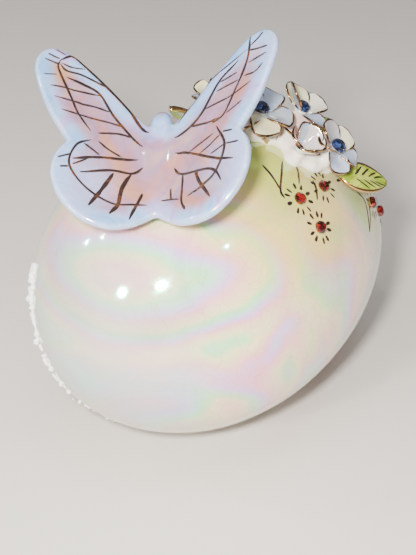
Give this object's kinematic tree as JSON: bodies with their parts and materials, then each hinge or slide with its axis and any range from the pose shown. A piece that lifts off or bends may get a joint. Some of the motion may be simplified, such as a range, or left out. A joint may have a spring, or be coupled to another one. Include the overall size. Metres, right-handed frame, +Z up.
{
  "type": "egg-shaped trinket box",
  "caption": "Porcelain trinket box shaped like an egg on its side, with a pearl glaze, an applied butterfly, flowers, leaves and glass stones; the egg lifts off a shallow dish.",
  "frame": {"origin": "middle of the flat underside of the dish, on the table", "axes": "+Z up, +X along the egg towards its narrow end, -Y is the front that carries the painted leaves"},
  "size_m": [0.105, 0.077, 0.102],
  "materials": {
    "lustre_porcelain": "glossy pearl lustre glaze over white porcelain",
    "dish_porcelain": "glossy white glaze, bare underside",
    "wing_porcelain": "glossy pale blue and pink lustre",
    "petal_porcelain": "glossy cream glaze",
    "leaf_glaze": "glossy yellow-green glaze",
    "blue_glass": "foil-backed cut glass",
    "red_glass": "foil-backed cut glass"
  },
  "bodies": {
    "dish": {"base_dish": "dish_porcelain"},
    "lid": {"blue_stone_1": "blue_glass", "blue_stone_2": "blue_glass", "blue_stone_3": "blue_glass", "butterfly": "wing_porcelain", "butterfly_pad": "wing_porcelain", "flower_1": "petal_porcelain", "flower_2": "petal_porcelain", "flower_3": "petal_porcelain", "flower_4": "petal_porcelain", "flower_5": "petal_porcelain", "flower_6": "petal_porcelain", "leaf_1": "leaf_glaze", "leaf_2": "leaf_glaze", "leaf_3": "leaf_glaze", "lid_shell": "lustre_porcelain", "red_stone_1": "red_glass", "red_stone_2": "red_glass", "red_stone_3": "red_glass", "red_stone_4": "red_glass", "red_stone_5": "red_glass", "red_stone_6": "red_glass", "slip_bed": "petal_porcelain"}
  },
  "joints": [
    {"name": "lid_lift", "type": "slide", "parent": "dish", "child": "lid", "axis": [0, 0, 1], "range_m": [0, 0.1]}
  ]
}
